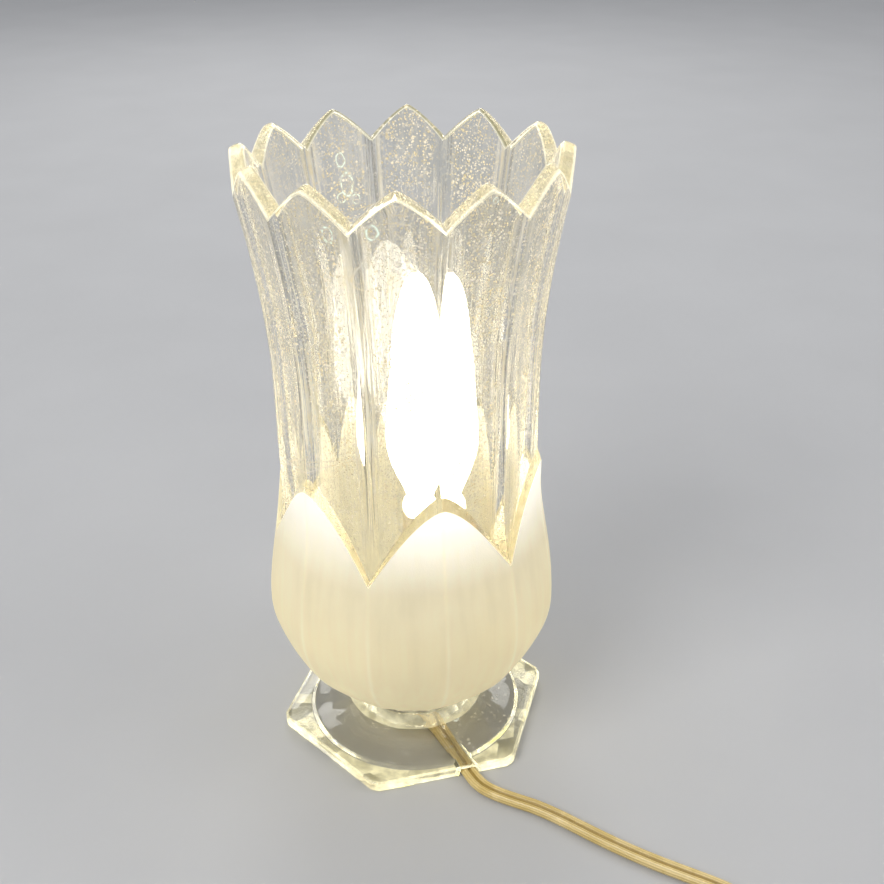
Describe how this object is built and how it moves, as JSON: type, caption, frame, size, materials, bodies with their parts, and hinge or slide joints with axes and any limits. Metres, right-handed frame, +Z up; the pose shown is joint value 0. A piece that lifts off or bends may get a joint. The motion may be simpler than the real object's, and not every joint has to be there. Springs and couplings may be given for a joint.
{
  "type": "table lamp",
  "caption": "Vase-shaped pressed glass lamp on a six-sided foot, with petals round its bowl, a toothed rim and a candle bulb inside, on a flat cord with switch and plug.",
  "frame": {"origin": "middle of the foot's underside, on the glass body's axis", "axes": "+Z up along the glass body's axis; -Y towards the front, where the middle of one side of the foot faces and the cord leaves; +X to the right"},
  "size_m": [0.1303, 0.2559, 0.206],
  "materials": {
    "crystal": "pressed clear glass, frosted on the petals, polished on the panels",
    "bulb_glass": "soft white coated, lit",
    "stem_glass": "clear",
    "black_glass": "gloss",
    "brass": "bright",
    "steel": "zinc plated",
    "solder": "dull",
    "lead_wire": "bright",
    "filament": "glowing wire",
    "rubber": "matt",
    "white_plastic": "satin",
    "ivory_plastic": "moulded",
    "cord": "soft vinyl with fine ribs along it",
    "switch_plastic": "moulded",
    "wheel_plastic": "moulded",
    "plug_plastic": "moulded vinyl"
  },
  "bodies": {
    "root": {"glass_body": "crystal", "rubber_washers": "rubber", "steel_washers": "steel", "hex_nuts": "brass", "nipple": "steel", "nipple_bushing": "white_plastic", "bracket": "steel", "bracket_screw": "brass", "socket_body": "ivory_plastic", "socket_screw_shell": "brass", "socket_contact": "brass", "socket_terminals": "brass", "terminal_screws": "brass", "cord_inner": "cord", "socket_wires": "cord", "cord_run": "cord", "cord_link": "cord", "cord_coil": "cord", "cord_tail": "cord", "switch_lower": "switch_plastic", "switch_upper": "switch_plastic", "switch_pin": "steel", "switch_contacts": "brass", "switch_screws": "brass", "plug_body": "plug_plastic", "plug_blades": "brass"},
    "bulb": {"bulb_envelope": "bulb_glass", "bulb_cap": "brass", "bulb_insulator": "black_glass", "bulb_contact": "solder", "bulb_stem": "stem_glass", "bulb_leads": "lead_wire", "bulb_filament": "filament"},
    "wheel": {"switch_wheel": "wheel_plastic", "switch_bridge": "brass"}
  },
  "joints": [
    {"name": "bulb_lift", "type": "slide", "parent": "root", "child": "bulb", "axis": [0, 0, 1], "range_m": [0, 0.15]},
    {"name": "switch_turn", "type": "hinge", "parent": "root", "child": "wheel", "pos_m": [0.0696, -0.1636, 0.0075], "axis": [0, 0, 1], "continuous": true}
  ]
}
